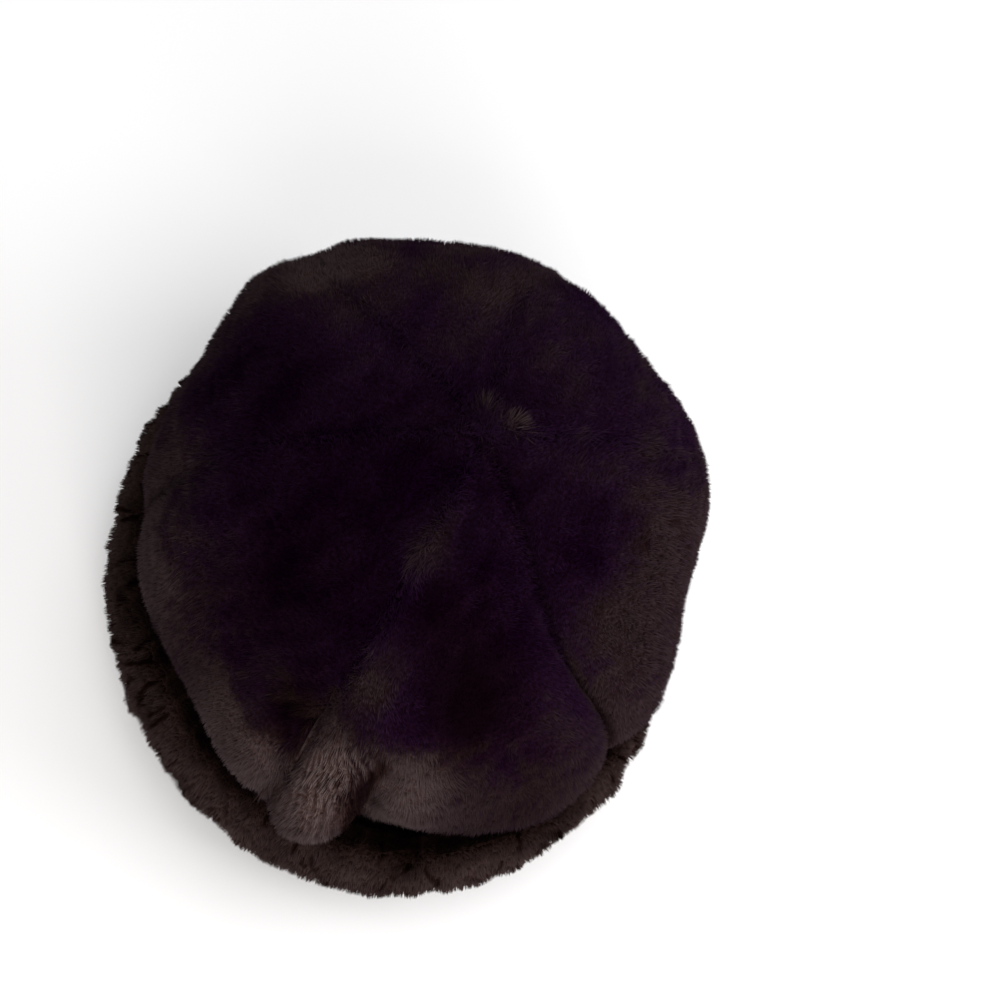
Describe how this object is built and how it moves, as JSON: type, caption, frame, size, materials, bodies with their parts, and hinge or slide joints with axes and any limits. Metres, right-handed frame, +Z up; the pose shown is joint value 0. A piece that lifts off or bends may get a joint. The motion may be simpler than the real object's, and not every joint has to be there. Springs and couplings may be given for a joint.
{
  "type": "fur hat",
  "caption": "Soft dark fur hat with a puffed, seamed crown gathered at the top over a thick rolled fur cuff; worn on the head for warmth.",
  "frame": {"origin": "middle of the cuff's flat underside, on the surface the hat stands on", "axes": "+Z up through the crown, -Y to the front of the hat, +X to the wearer's left"},
  "size_m": [0.2396, 0.2636, 0.1476],
  "materials": {
    "crown_fur": "sheared plush fur, near black with a brown-grey bloom at the tips",
    "cuff_fur": "longer plush fur in locks, near-black brown"
  },
  "bodies": {
    "root": {"gore_back_right": "crown_fur", "gore_back": "crown_fur", "gore_back_left": "crown_fur", "gore_front_left": "crown_fur", "gore_front": "crown_fur", "gore_front_right": "crown_fur", "fur_cuff": "cuff_fur"}
  },
  "joints": []
}
